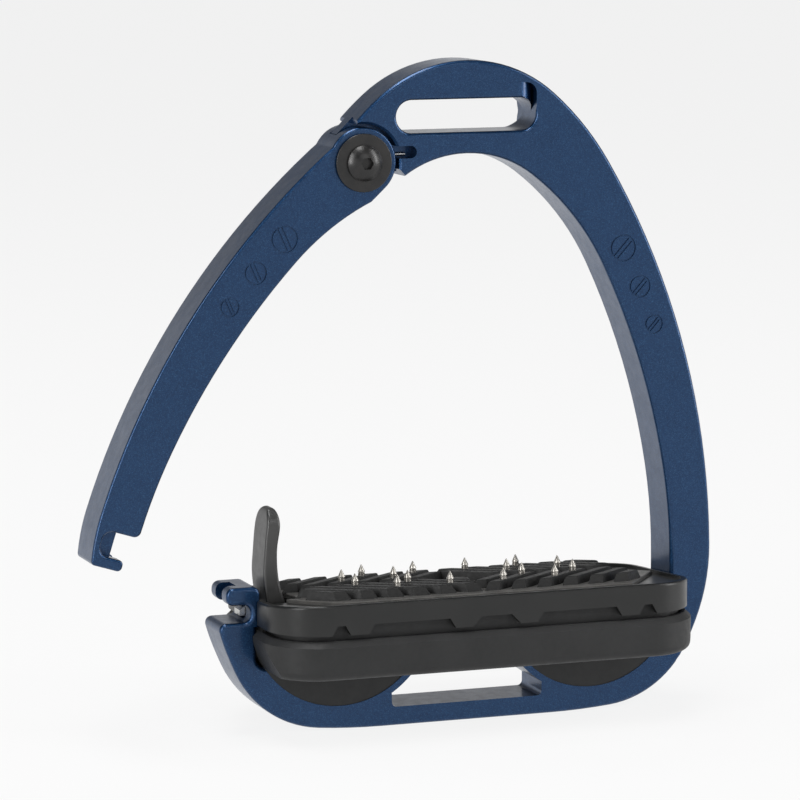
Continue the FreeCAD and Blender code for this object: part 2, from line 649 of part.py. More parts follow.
def tilted(shape):
    """From the flat layout of the tread's top to its real slope; flat height 0 is the rim's top."""
    copy = shape.copy()
    copy.rotate(FreeCAD.Vector(0, 0, 0), FreeCAD.Vector(1, 0, 0), -SLOPE)
    copy.translate(FreeCAD.Vector(0, 0, RIM_TOP_Z))
    return copy


def make_tread_rim():
    blank = rounded_plate(RIM_HALF_X, RIM_HALF_Y, RIM_CORNER, RIM_LOW, RIM_TOP_Z + 6)
    above = tilted(block(-80, 80, -60, 60, 0, 20))
    body = blank.cut(above)
    top_rim = [edge for edge in body.Edges
               if edge.BoundBox.ZMin > RIM_LOW + 0.1 and max(edge.BoundBox.XLength, edge.BoundBox.YLength) > 10]
    body = body.makeFillet(0.7, top_rim)
    inside = rounded_plate(RIM_HALF_X - RIM_WALL, RIM_HALF_Y - RIM_WALL, RIM_CORNER - RIM_WALL,
                           RIM_LOW - 1, RIM_TOP_Z + 6)
    body = body.cut(inside.cut(tilted(block(-80, 80, -60, 60, -RIM_TOP_T, 30))))
    seat = rounded_plate(RIM_HALF_X - RIM_LIP, RIM_HALF_Y - RIM_LIP, RIM_CORNER - RIM_LIP, -PAD_SEAT, 3)
    body = body.cut(tilted(seat))
    for x, half_top, half_low in TOOTH_GAPS:
        low = RIM_LOW - 1
        reach = half_low + (half_low - half_top) / TOOTH_HEIGHT
        high = RIM_LOW + TOOTH_HEIGHT
        shape = ((x - reach, low), (x + reach, low), (x + half_top, high), (x - half_top, high))
        body = body.cut(prism(shape, -40, 40))
    for x, y in post_places():
        boss = post(x, y, GUIDE_BOSS_R, SADDLE_Z + GUIDE_BOSS_LOW, RIM_TOP_Z + 6)
        boss = boss.cut(tilted(block(-80, 80, -60, 60, -RIM_TOP_T + 0.4, 30)))
        body = body.fuse(boss)
        body = body.cut(post(x, y, GUIDE_R, SADDLE_Z + 8, RIM_TOP_Z - 4.4))
    body = body.cut(block(-70, LEFT_NOTCH_X, -NOTCH_HALF_Y, NOTCH_HALF_Y, 0, 60))
    body = body.cut(block(RIGHT_NOTCH_X, 70, -NOTCH_HALF_Y, NOTCH_HALF_Y, 0, 60))
    return body.removeSplitter()


def flat_prism(points, z0, z1):
    corners = [FreeCAD.Vector(x, y, z0) for x, y in points]
    return Part.Face(Part.makePolygon(corners + corners[:1])).extrude(FreeCAD.Vector(0, 0, z1 - z0))


def stud_places():
    return [(sx * x, sy * y) for x, y in STUD_PLACES for sx in (-1, 1) for sy in (-1, 1)]


def chevron_bar(level, sx, sy):
    """One bar of the line |x| + |y| = level, in the quadrant given by the signs."""
    outer_y = BAR_OUTER_Y
    if level == BAR_FIRST:
        outer_y = BAR_FIRST - 1.0
    inner_y = max(BAR_INNER_Y, level - BAR_END_X)
    half = BAR_HALF_W * math.sqrt(2)
    corners = [(level - outer_y - half, outer_y), (level - outer_y + half, outer_y),
               (level - inner_y + half, inner_y), (level - inner_y - half, inner_y)]
    return flat_prism([(sx * x, sy * y) for x, y in corners], -0.2, BAR_H)


def make_grip_pad():
    corners = ((-PAD_TIP_X, 0), (-PAD_SHOULDER_X, -PAD_HALF_Y), (PAD_SHOULDER_X, -PAD_HALF_Y),
               (PAD_TIP_X, 0), (PAD_SHOULDER_X, PAD_HALF_Y), (-PAD_SHOULDER_X, PAD_HALF_Y))
    pad = flat_prism(corners, -PAD_SEAT, 0)
    pad = pad.cut(block(-70, LEFT_NOTCH_X + 0.9, -NOTCH_HALF_Y - 0.4, NOTCH_HALF_Y + 0.4, -5, 5))
    for k in range(BAR_COUNT):
        for sx in (-1, 1):
            for sy in (-1, 1):
                pad = pad.fuse(chevron_bar(BAR_FIRST + k * BAR_PITCH, sx, sy))
    for x, y in stud_places():
        pad = pad.fuse(post(x, y, COLLAR_R, -0.2, COLLAR_H))
    pad = pad.fuse(post(0, 0, PAD_BOSS_R, -0.2, PAD_BOSS_H)).removeSplitter()
    for x, y in stud_places():
        pad = pad.cut(post(x, y, STUD_R, -5, 10))
    return tilted(pad)


def make_grip_studs():
    studs = []
    for x, y in stud_places():
        shank = post(x, y, STUD_R, -PAD_SEAT, STUD_TIP - STUD_CONE)
        cone = Part.makeCone(STUD_R, 0.12, STUD_CONE, FreeCAD.Vector(x, y, STUD_TIP - STUD_CONE))
        studs.append(tilted(shank.fuse(cone)))
    return Part.makeCompound(studs)


def lever_tab():
    """Curved upright tab above the pin, with a round top and rounded edges."""
    z = LEVER_PIVOT[1]
    curve = Part.BSplineCurve()
    curve.interpolate([point(x, high, -LEVER_HALF_Y) for x, high in LEVER_CURVE])
    foot = (LEVER_CURVE[-1], (LEVER_RIGHT, LEVER_FOOT_Z), (LEVER_RIGHT, z), (LEVER_LEFT, z), LEVER_CURVE[0])
    lines = [Part.makeLine(point(*start, -LEVER_HALF_Y), point(*end, -LEVER_HALF_Y))
             for start, end in zip(foot, foot[1:])]
    side = Part.Face(Part.Wire([curve.toShape()] + lines))
    tab = side.extrude(FreeCAD.Vector(0, 2 * LEVER_HALF_Y, 0))
    outline = block(-70, -40, -LEVER_HALF_Y, LEVER_HALF_Y, 0, LEVER_TOP - LEVER_HALF_Y)
    round_top = Part.makeCylinder(LEVER_HALF_Y, 30, FreeCAD.Vector(-70, 0, LEVER_TOP - LEVER_HALF_Y),
                                  FreeCAD.Vector(1, 0, 0))
    tab = tab.common(outline.fuse(round_top)).removeSplitter()
    outer = [edge for edge in tab.Edges
             if edge.BoundBox.ZMax > RIM_TOP_Z and edge.BoundBox.YLength < 2 * LEVER_HALF_Y - 0.1]
    return tab.makeFillet(LEVER_ROUND, outer)


def make_release_lever():
    """Upright tab on the left end, with its hub round the pin below."""
    x, z = LEVER_PIVOT
    body = lever_tab().fuse(rod(x, z, HUB_R, -LEVER_HALF_Y, LEVER_HALF_Y))
    body = body.cut(rod(x, z, PIN_R + RUNNING_CLEARANCE, -10, 10))
    return body.cut(pawl_blank()).cut(rivet_hole()).removeSplitter()


def pawl_blank():
    shape = ((-62.6, 31.9), (-53.2, 31.9), (-53.2, 34.8), (-60.8, 34.8), (-62.6, 33.4))
    return prism(shape, -PAWL_HALF_Y, PAWL_HALF_Y)


def rivet_hole():
    return rod(RIVET[0], RIVET[1], RIVET_R, -10, 10)


def make_latch_pawl():
    return pawl_blank().cut(rivet_hole())


def make_lever_spring():
    """Light compression spring between the lever's tail and a post of the base."""
    start_x = LEVER_RIGHT + 0.6
    helix = Part.makeHelix(SPRING_PITCH, SPRING_END_X - 0.6 - start_x, SPRING_R)
    profile = Part.Wire(Part.makeCircle(SPRING_WIRE_R, FreeCAD.Vector(SPRING_R, 0, 0), FreeCAD.Vector(0, 1, 0)))
    coil = Part.Wire(helix.Edges).makePipeShell([profile], True, True)
    coil.rotate(FreeCAD.Vector(0, 0, 0), FreeCAD.Vector(0, 1, 0), 90)
    coil.translate(FreeCAD.Vector(start_x, 0, SPRING_Z))
    return coil


def make_base_screws():
    screws = []
    for side in (-1, 1):
        head = post(side * LOBE_X, 0, HEAD_R, 0.3, 3.0)
        shank = post(side * LOBE_X, 0, SHANK_R, 3.0, SADDLE_Z - 1)
        socket = hexagon_prism(SOCKET_AF, 0, 2)
        socket.rotate(FreeCAD.Vector(0, 0, 0), FreeCAD.Vector(1, 0, 0), 90)
        socket.translate(FreeCAD.Vector(side * LOBE_X, 0, 0))
        screws.append(head.fuse(shank).cut(socket))
    return Part.makeCompound(screws)


def make_guide_screws():
    screws = []
    for x, y in post_places():
        head = post(x, y, 3.8, SADDLE_Z + 0.3, SADDLE_Z + 2.3)
        shank = post(x, y, 2.0, SADDLE_Z + 2.0, RIM_TOP_Z - 4.8)
        socket = post(x, y, 1.3, SADDLE_Z, SADDLE_Z + 1.4)
        screws.append(head.fuse(shank).cut(socket))
    return Part.makeCompound(screws)


def make_cushion_dampers():
    pieces = []
    for x, y in post_places():
        ring_blank = post(x, y, BUFFER_R, SADDLE_Z + BUFFER_LOW, SADDLE_Z + BUFFER_HIGH)
        pieces.append(ring_blank.cut(post(x, y, BUFFER_BORE_R, SADDLE_Z, SADDLE_Z + 10)))
    return Part.makeCompound(pieces)


def build():
    face = HALF + WASHER_GAP
    x, z = LEVER_PIVOT
    return {
        "frame": make_frame(),
        "release_arm": make_arm(),
        "hinge_bush_front": bush(-HALF, -FORK_HALF - 0.1),
        "hinge_bush_rear": bush(FORK_HALF + 0.1, HALF),
        "hinge_bolt": make_hinge_bolt(),
        "hinge_barrel": make_hinge_barrel(),
        "hinge_washer_front": hinge_washer(-face - WASHER_T, SHANK_R),
        "hinge_washer_rear": hinge_washer(face, BARREL_R),
        "thrust_washers": make_thrust_washers(),
        "torsion_spring": make_torsion_spring(),
        "tread_base": make_tread_base(),
        "base_screws": make_base_screws(),
        "cushion_dampers": make_cushion_dampers(),
        "tread_rim": make_tread_rim(),
        "grip_pad": make_grip_pad(),
        "grip_studs": make_grip_studs(),
        "guide_screws": make_guide_screws(),
        "release_lever": make_release_lever(),
        "lever_pin": rod(x, z, PIN_R, -8.8, 8.8),
        "lever_spring": make_lever_spring(),
        "latch_pawl": make_latch_pawl(),
        "pawl_rivet": rod(RIVET[0], RIVET[1], RIVET_R, -LEVER_HALF_Y, LEVER_HALF_Y),
    }


os.makedirs("parts", exist_ok=True)
for name, shape in build().items():
    print(name, "solids", len(shape.Solids), "volume", round(shape.Volume, 1), "valid", shape.isValid())
    shape.exportStep("parts/" + name + ".step")
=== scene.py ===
"""Looks of a safety stirrup iron with a release arm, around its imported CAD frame. Metres, +Z up."""

import math

import bmesh
import bpy
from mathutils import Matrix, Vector


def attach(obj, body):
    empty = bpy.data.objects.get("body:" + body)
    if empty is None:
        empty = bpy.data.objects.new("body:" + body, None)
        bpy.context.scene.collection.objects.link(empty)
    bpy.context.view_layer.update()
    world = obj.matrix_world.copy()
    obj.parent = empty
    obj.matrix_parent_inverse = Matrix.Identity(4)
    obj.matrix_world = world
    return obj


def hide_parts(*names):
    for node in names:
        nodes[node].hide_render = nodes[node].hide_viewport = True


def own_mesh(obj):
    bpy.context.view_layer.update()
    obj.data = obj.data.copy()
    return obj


MM = 0.001
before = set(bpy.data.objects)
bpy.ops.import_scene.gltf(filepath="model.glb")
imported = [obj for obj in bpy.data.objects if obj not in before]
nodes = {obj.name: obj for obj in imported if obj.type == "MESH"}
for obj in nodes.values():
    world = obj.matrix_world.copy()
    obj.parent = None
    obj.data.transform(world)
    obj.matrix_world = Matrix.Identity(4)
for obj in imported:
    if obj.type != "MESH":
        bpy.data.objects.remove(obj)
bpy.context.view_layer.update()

# ---- sizes shared with the CAD model, in mm ----------------------------------------------------
RIM_TOP = 36.0
SLOPE = math.radians(4.5)
PAD_HALF_Y = 24.0
PAD_TIP_X = 57.0
PAD_SHOULDER_X = 41.0
PAD_NOTCH_X = -47.1
PAD_NOTCH_HALF = 8.2
PAD_SEAT = 1.0
BAR_FIRST = 14.6
BAR_PITCH = 7.4
BAR_COUNT = 7
BAR_HALF_W = 1.5
BAR_H = 2.3
BAR_OUTER_Y = 19.5
BAR_FIRST_OUTER_Y = BAR_FIRST - 1.0
BAR_INNER_Y = 1.3
BAR_END_X = 45.8
BAR_END_SLOPE = 2.6          # how much more a bar's ends lean in than its sides
BURIED = 0.3                 # how deep bars and collars start in the plate
STUD_PLACES = ((7.6, 14.4), (16.4, 5.6), (22.5, 14.3), (31.3, 5.5))
STUD_R = 0.95
STUD_TIP = 5.4
STUD_CONE = 2.0
COLLAR_R = 1.7
COLLAR_H = 1.3
COLLAR_TEETH = 12
POST_X = 38.0
POST_Y = 18.0
DAMPER_LOW = 22.6
DAMPER_HIGH = 27.0
DAMPER_R = 5.6
DAMPER_BORE = 2.6
DAMPER_RIBS = 3
DAMPER_RIB_DEPTH = 1.0
DAMPER_STEPS = 12


# ---- materials ---------------------------------------------------------------------------------
NOISE_ROUGHNESS = 0.55


class Look:
    """A Principled material that is put together node by node, on object coordinates in metres.
    The plain colour and roughness given first are what a program that doesn't read nodes shows."""

    def __init__(self, name, colour, metallic=0.0, roughness=0.5, **extra):
        self.mat = bpy.data.materials.new(name)
        self.mat.use_nodes = True
        self.tree = self.mat.node_tree
        self.bsdf = self.tree.nodes["Principled BSDF"]
        self.set("Base Color", (*colour, 1.0))
        self.set("Metallic", metallic)
        self.set("Roughness", roughness)
        for socket, value in extra.items():
            self.set(socket.replace("_", " "), value)
        self.coords = self.tree.nodes.new("ShaderNodeTexCoord").outputs["Object"]
        self.normal = None

    def set(self, socket, value):
        self.bsdf.inputs[socket].default_value = value

    def link(self, source, target):
        self.tree.links.new(source, target)

    def noise(self, size_mm, detail=3.0, stretch=(1, 1, 1)):
        """Noise whose features are about size_mm across; stretch squeezes it along an axis."""
        mapping = self.tree.nodes.new("ShaderNodeMapping")
        mapping.inputs["Scale"].default_value = stretch
        self.link(self.coords, mapping.inputs["Vector"])
        node = self.tree.nodes.new("ShaderNodeTexNoise")
        node.inputs["Scale"].default_value = 1.0 / (size_mm * MM)
        node.inputs["Detail"].default_value = detail
        node.inputs["Roughness"].default_value = NOISE_ROUGHNESS
        self.link(mapping.outputs["Vector"], node.inputs["Vector"])
        return node.outputs["Fac"]

    def cells(self, size_mm):
        """Random value for each small cell, for the flakes of a metallic paint."""
        node = self.tree.nodes.new("ShaderNodeTexVoronoi")
        node.inputs["Scale"].default_value = 1.0 / (size_mm * MM)
        self.link(self.coords, node.inputs["Vector"])
        split = self.tree.nodes.new("ShaderNodeSeparateColor")
        self.link(node.outputs["Color"], split.inputs["Color"])
        return split.outputs["Red"]

    def spread(self, source, low, high, start=0.3, end=0.7):
        """The source, remapped from start..end to low..high."""
        node = self.tree.nodes.new("ShaderNodeMapRange")
        limits = (("From Min", start), ("From Max", end), ("To Min", low), ("To Max", high))
        for socket, value in limits:
            node.inputs[socket].default_value = value
        self.link(source, node.inputs["Value"])
        return node.outputs["Result"]

    def mix(self, fac, first, second):
        """Two colours or colour outputs, mixed by fac."""
        node = self.tree.nodes.new("ShaderNodeMix")
        node.data_type = "RGBA"
        inputs = ((fac, node.inputs[0]), (first, node.inputs[6]), (second, node.inputs[7]))
        for value, socket in inputs:
            if hasattr(value, "links"):
                self.link(value, socket)
            elif isinstance(value, tuple):
                socket.default_value = (*value, 1.0)
            else:
                socket.default_value = value
        return node.outputs[2]

    def colour(self, source):
        self.link(source, self.bsdf.inputs["Base Color"])

    def rough(self, source, low, high):
        self.link(self.spread(source, low, high), self.bsdf.inputs["Roughness"])

    def bump(self, source, height_mm):
        """Adds relief of that height; several calls stack."""
        node = self.tree.nodes.new("ShaderNodeBump")
        node.inputs["Distance"].default_value = height_mm * MM
        self.link(source, node.inputs["Height"])
        if self.normal is not None:
            self.link(self.normal, node.inputs["Normal"])
        self.normal = node.outputs["Normal"]
        self.link(self.normal, self.bsdf.inputs["Normal"])


def blue_paint():
    """Metallic paint: light and dark flakes in a deep blue base, under a clear coat."""
    look = Look("metallic_blue_paint", (0.01, 0.04, 0.1), metallic=0.92, roughness=0.42,
                Coat_Weight=0.45, Coat_Roughness=0.16, Coat_IOR=1.5)
    flakes = look.cells(0.15)
    cloud = look.spread(look.noise(9.0), 0.0, 1.0)
    base = look.mix(cloud, (0.0065, 0.034, 0.098), (0.0090, 0.040, 0.110))
    sparkle = look.mix(look.spread(flakes, 0.0, 1.0, 0.75, 1.0), base, (0.025, 0.08, 0.18))
    look.colour(look.mix(look.spread(flakes, 1.0, 0.0, 0.0, 0.3), sparkle, (0.004, 0.023, 0.068)))
    look.rough(look.noise(3.0), 0.34, 0.44)
    look.bump(look.noise(0.35, detail=2.0), 0.006)
    look.bump(look.noise(1.6, detail=1.0), 0.012)
    return look.mat


def satin_black():
    look = Look("satin_black_plastic", (0.018, 0.018, 0.019), roughness=0.33,
                Specular_IOR_Level=0.42)
    cloud = look.spread(look.noise(14.0), 0.0, 1.0)
    look.colour(look.mix(cloud, (0.007, 0.0073, 0.0072), (0.010, 0.0103, 0.0102)))
    look.rough(look.noise(2.2), 0.29, 0.38)
    look.bump(look.noise(0.3, detail=2.0), 0.004)
    look.bump(look.noise(6.0, detail=1.0), 0.02)
    return look.mat


def matte_black():
    look = Look("matte_black_plastic", (0.02, 0.02, 0.02), roughness=0.55, Specular_IOR_Level=0.4)
    cloud = look.spread(look.noise(11.0), 0.0, 1.0)
    look.colour(look.mix(cloud, (0.009, 0.0093, 0.0096), (0.0135, 0.0138, 0.0142)))
    look.rough(look.noise(1.5), 0.48, 0.60)
    look.bump(look.noise(0.22, detail=3.0), 0.010)
    return look.mat


def lever_plastic():
    look = Look("lever_black_plastic", (0.018, 0.018, 0.018), roughness=0.38,
                Specular_IOR_Level=0.85)
    cloud = look.spread(look.noise(8.0), 0.0, 1.0)
    look.colour(look.mix(cloud, (0.012, 0.012, 0.0118), (0.017, 0.017, 0.0165)))
    look.rough(look.noise(1.8), 0.33, 0.43)
    look.bump(look.noise(0.25, detail=3.0), 0.006)
    return look.mat


def pad_rubber():
    look = Look("grip_rubber", (0.01, 0.01, 0.01), roughness=0.55, Specular_IOR_Level=0.35)
    dust = look.spread(look.noise(5.0, detail=4.0), 0.0, 1.0)
    look.colour(look.mix(dust, (0.004, 0.004, 0.004), (0.009, 0.009, 0.0088)))
    look.rough(look.noise(0.9), 0.45, 0.62)
    look.bump(look.noise(0.18, detail=3.0), 0.010)
    look.bump(look.noise(2.5, detail=2.0), 0.02)
    return look.mat


def pad_plate():
    """Dusty grey floor of the pad between its bars, with small glints."""
    look = Look("grip_plate", (0.06, 0.058, 0.055), roughness=0.5, Specular_IOR_Level=0.5)
    dust = look.spread(look.noise(3.0, detail=4.0), 0.0, 1.0)
    look.colour(look.mix(dust, (0.045, 0.044, 0.042), (0.085, 0.082, 0.076)))
    look.rough(look.noise(0.7), 0.38, 0.58)
    look.bump(look.noise(0.3, detail=3.0), 0.02)
    return look.mat


def damper_rubber():
    look = Look("buffer_rubber", (0.03, 0.03, 0.03), roughness=0.7, Specular_IOR_Level=0.3)
    dust = look.spread(look.noise(3.0), 0.0, 1.0)
    look.colour(look.mix(dust, (0.02, 0.02, 0.02), (0.05, 0.05, 0.048)))
    look.rough(look.noise(1.0), 0.6, 0.8)
    look.bump(look.noise(0.25), 0.01)
    return look.mat


def steel(name, colour, roughness):
    """Turned or drawn steel: fine lines round the axis and a little cloudiness."""
    look = Look(name, colour, metallic=1.0, roughness=roughness)
    dark = tuple(value * 0.78 for value in colour)
    look.colour(look.mix(look.spread(look.noise(1.2, detail=3.0), 0.0, 1.0), dark, colour))
    look.rough(look.noise(0.8), roughness * 0.8, roughness * 1.25)
    look.bump(look.noise(0.3, detail=2.0, stretch=(1, 6, 1)), 0.003)
    return look.mat


def black_steel():
    look = Look("black_oxide_steel", (0.012, 0.012, 0.012), metallic=0.35, roughness=0.3,
                Specular_IOR_Level=0.6)
    cloud = look.spread(look.noise(2.4), 0.0, 1.0)
    look.colour(look.mix(cloud, (0.011, 0.011, 0.0115), (0.019, 0.018, 0.0175)))
    look.rough(look.noise(1.4), 0.26, 0.36)
    look.bump(look.noise(0.2, detail=3.0), 0.003)
    return look.mat


def bronze():
    look = Look("bearing_bronze", (0.42, 0.26, 0.12), metallic=1.0, roughness=0.4)
    cloud = look.spread(look.noise(0.7), 0.0, 1.0)
    look.colour(look.mix(cloud, (0.33, 0.2, 0.09), (0.5, 0.33, 0.17)))
    look.rough(look.noise(0.6), 0.32, 0.5)
    look.bump(look.noise(0.15, detail=3.0), 0.006)
    return look.mat


LOOKS = {
    "paint": blue_paint(),
    "satin": satin_black(),
    "matte": matte_black(),
    "lever": lever_plastic(),
    "pad": pad_rubber(),
    "plate": pad_plate(),
    "damper": damper_rubber(),
    "stud": steel("nickel_steel", (0.44, 0.42, 0.385), 0.30),
    "bright": steel("bright_steel", (0.55, 0.55, 0.54), 0.28),
    "black_steel": black_steel(),
    "bronze": bronze(),
}

NODE_LOOKS = {
    "frame": "paint", "release_arm": "paint",
    "hinge_bush_front": "bronze", "hinge_bush_rear": "bronze", "thrust_washers": "bronze",
    "hinge_bolt": "black_steel", "hinge_barrel": "black_steel",
    "hinge_washer_front": "black_steel", "hinge_washer_rear": "black_steel",
    "torsion_spring": "bright",
    "tread_base": "matte", "tread_rim": "satin", "release_lever": "lever",
    "base_screws": "black_steel", "guide_screws": "black_steel",
    "lever_pin": "bright", "latch_pawl": "bright", "pawl_rivet": "bright",
}


def paint_nodes():
    for name, look in NODE_LOOKS.items():
        obj = nodes[name]
        obj.data.materials.clear()
        obj.data.materials.append(LOOKS[look])


# ---- mesh helpers ------------------------------------------------------------------------------
def tread_place(x, y, z):
    """From the flat layout of the tread's top, in mm, to the sloped place, in metres."""
    cos, sin = math.cos(SLOPE), math.sin(SLOPE)
    return Vector((x * MM, (y * cos + z * sin) * MM, (RIM_TOP - y * sin + z * cos) * MM))


SHARP_EDGE = math.radians(28)


def piece(name, bm, look, body, replaced):
    """A finished mesh object of one material, on a CAD body in place of the replaced nodes."""
    bmesh.ops.recalc_face_normals(bm, faces=bm.faces)
    for edge in bm.edges:
        edge.smooth = edge.calc_face_angle(0.0) < SHARP_EDGE
    mesh = bpy.data.meshes.new(name)
    bm.to_mesh(mesh)
    bm.free()
    mesh.materials.append(LOOKS[look])
    for polygon in mesh.polygons:
        polygon.use_smooth = True
    obj = bpy.data.objects.new(name, mesh)
    bpy.context.scene.collection.objects.link(obj)
    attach(obj, body)
    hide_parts(*replaced)
    return obj


def add_lathe(bm, profile, place, steps=32):
    """Adds a turned shape: (radius, height) pairs round the axis at place(x, y, z). A first or last
    ring that isn't a point on the axis gets a cap, even where the profile closes on itself."""
    rings = []
    for radius, height in profile:
        if radius < 1e-6:
            rings.append([bm.verts.new(place(0, 0, height))])
            continue
        ring = []
        for k in range(steps):
            angle = 2 * math.pi * k / steps
            x, y = radius * math.cos(angle), radius * math.sin(angle)
            ring.append(bm.verts.new(place(x, y, height)))
        rings.append(ring)
    for low, high in zip(rings, rings[1:]):
        for k in range(steps):
            corners = [low[k % len(low)], low[(k + 1) % len(low)],
                       high[(k + 1) % len(high)], high[k % len(high)]]
            unique = []
            for vert in corners:
                if vert not in unique:
                    unique.append(vert)
            bm.faces.new(unique)
    for ring, turn in ((rings[0], -1), (rings[-1], 1)):
        if len(ring) > 1:
            bm.faces.new(ring[::turn])


def add_loft(bm, outlines, place):
    """Adds a closed solid through outlines of equally many (x, y, z) points, with capped ends."""
    loops = [[bm.verts.new(place(*corner)) for corner in outline] for outline in outlines]
    for low, high in zip(loops, loops[1:]):
        count = len(low)
        for k in range(count):
            bm.faces.new((low[k], low[(k + 1) % count], high[(k + 1) % count], high[k]))
    bm.faces.new(loops[0][::-1])
    bm.faces.new(loops[-1])


def shade(obj):
    """Keeps flat faces flat between the rounded ones."""
    weighted = obj.modifiers.new("flat_faces", "WEIGHTED_NORMAL")
    weighted.keep_sharp = True


# ---- grip pad, studs, rubber rings and the lever's spring --------------------------------------
def upright_place(x, y, z):
    """From mm to metres, without the tread's slope."""
    return Vector((x * MM, y * MM, z * MM))


def bar_outline(level, sx, sy, inset, z):
    """One bar of the pad on the line |x| + |y| = level, drawn in by inset, at height z."""
    outer_y = BAR_OUTER_Y if level > BAR_FIRST else BAR_FIRST_OUTER_Y
    inner_y = max(BAR_INNER_Y, level - BAR_END_X)
    half = (BAR_HALF_W - inset) * math.sqrt(2)
    outer_y -= BAR_END_SLOPE * inset
    inner_y += BAR_END_SLOPE * inset
    corners = ((level - outer_y - half, outer_y), (level - outer_y + half, outer_y),
               (level - inner_y + half, inner_y), (level - inner_y - half, inner_y))
    return [(sx * x, sy * y, z) for x, y in corners]


def pad_outline(inset, z):
    """Six-sided outline of the pad's plate, with the lever's notch in its left tip."""
    notch_edge = PAD_TIP_X - (PAD_TIP_X - PAD_SHOULDER_X) * PAD_NOTCH_HALF / PAD_HALF_Y
    tip, shoulder, side = PAD_TIP_X - inset, PAD_SHOULDER_X - inset / 2, PAD_HALF_Y - inset
    notch_end = PAD_NOTCH_X + inset
    notch_start = inset - notch_edge
    return [(notch_end, -PAD_NOTCH_HALF, z), (notch_start, -PAD_NOTCH_HALF, z),
            (-shoulder, -side, z), (shoulder, -side, z), (tip, 0, z),
            (shoulder, side, z), (-shoulder, side, z),
            (notch_start, PAD_NOTCH_HALF, z), (notch_end, PAD_NOTCH_HALF, z)]


def star_outline(x, y, outer, inner, z):
    """Toothed circle round a stud."""
    points = []
    for k in range(2 * COLLAR_TEETH):
        radius = inner if k % 2 else outer
        angle = math.pi * k / COLLAR_TEETH
        points.append((x + radius * math.cos(angle), y + radius * math.sin(angle), z))
    return points


def stud_places():
    return [(sx * x, sy * y) for x, y in STUD_PLACES for sx in (-1, 1) for sy in (-1, 1)]


def make_pad():
    """Thin plate with V-shaped rows of bars, a toothed collar round each stud and a middle boss.
    Each shape has steps, which start with an inset or radii and end with a height."""
    bm = bmesh.new()
    plate_steps = ((0.0, -PAD_SEAT), (0.0, -0.2), (0.25, 0.0))
    bar_steps = ((0.0, -BURIED), (0.0, 0.2), (0.3, BAR_H - 0.14), (0.44, BAR_H))
    collar_steps = ((COLLAR_R, COLLAR_R - 0.35, -BURIED),
                    (COLLAR_R, COLLAR_R - 0.4, COLLAR_H - 0.5),
                    (COLLAR_R - 0.35, COLLAR_R - 0.6, COLLAR_H))
    boss_steps = ((3.2, -BURIED), (3.2, 1.2), (3.05, 1.45), (2.7, 1.6), (0, 1.6))
    add_loft(bm, [pad_outline(inset, z) for inset, z in plate_steps], tread_place)
    for face in bm.faces:
        face.material_index = 1
    for k in range(BAR_COUNT):
        level = BAR_FIRST + k * BAR_PITCH
        for sx in (-1, 1):
            for sy in (-1, 1):
                outlines = [bar_outline(level, sx, sy, inset, z) for inset, z in bar_steps]
                add_loft(bm, outlines, tread_place)
    for x, y in stud_places():
        outlines = [star_outline(x, y, outer, inner, z) for outer, inner, z in collar_steps]
        add_loft(bm, outlines, tread_place)
    add_lathe(bm, boss_steps, tread_place)
    pad = piece("rubber_grip_pad", bm, "pad", "tread", ("grip_pad",))
    pad.data.materials.append(LOOKS["plate"])
    shade(pad)


def make_studs():
    """Turned studs with a grooved neck under a pointed tip."""
    bm = bmesh.new()
    shoulder = STUD_TIP - STUD_CONE
    profile = ((0, -PAD_SEAT), (STUD_R, -PAD_SEAT), (STUD_R, shoulder - 0.35),
               (STUD_R - 0.12, shoulder - 0.27), (STUD_R - 0.12, shoulder - 0.12),
               (STUD_R + 0.05, shoulder - 0.02), (STUD_R + 0.03, shoulder + 0.1),
               (0.16, STUD_TIP - 0.14), (0.07, STUD_TIP - 0.02), (0, STUD_TIP))
    for x, y in stud_places():
        add_lathe(bm, profile, lambda u, v, w, x=x, y=y: tread_place(x + u, y + v, w), steps=24)
    studs = piece("pointed_studs", bm, "stud", "tread", ("grip_studs",))
    shade(studs)


def make_dampers():
    """Ribbed rubber rings round the guide posts. Known fault: add_lathe's cap leaves a stray disc
    across each bore at its lower end, in the plane of the base's floor, which the screw cuts."""
    bm = bmesh.new()
    profile = [(DAMPER_BORE, DAMPER_LOW)]
    for k in range(DAMPER_STEPS + 1):
        part = k / DAMPER_STEPS
        bulge = abs(math.sin(part * DAMPER_RIBS * math.pi))
        height = DAMPER_LOW + (DAMPER_HIGH - DAMPER_LOW) * part
        profile.append((DAMPER_R - DAMPER_RIB_DEPTH * (1 - bulge), height))
    profile += [(DAMPER_BORE, DAMPER_HIGH), (DAMPER_BORE, DAMPER_LOW)]
    for x in (-POST_X, POST_X):
        for y in (-POST_Y, POST_Y):
            add_lathe(bm, profile, lambda u, v, w, x=x, y=y: upright_place(x + u, y + v, w))
    bmesh.ops.remove_doubles(bm, verts=bm.verts, dist=1e-6)
    dampers = piece("rubber_dampers", bm, "damper", "root", ("cushion_dampers",))
    shade(dampers)
    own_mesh(dampers)


def make_lever_spring():
    """The lever's spring in its CAD shape, as a piece of its own on the root body."""
    spring = bpy.data.objects.new("return_spring", nodes["lever_spring"].data.copy())
    bpy.context.scene.collection.objects.link(spring)
    spring.data.materials.clear()
    spring.data.materials.append(LOOKS["bright"])
    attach(spring, "root")
    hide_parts("lever_spring")
    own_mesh(spring)


paint_nodes()
make_pad()
make_studs()
make_dampers()
make_lever_spring()


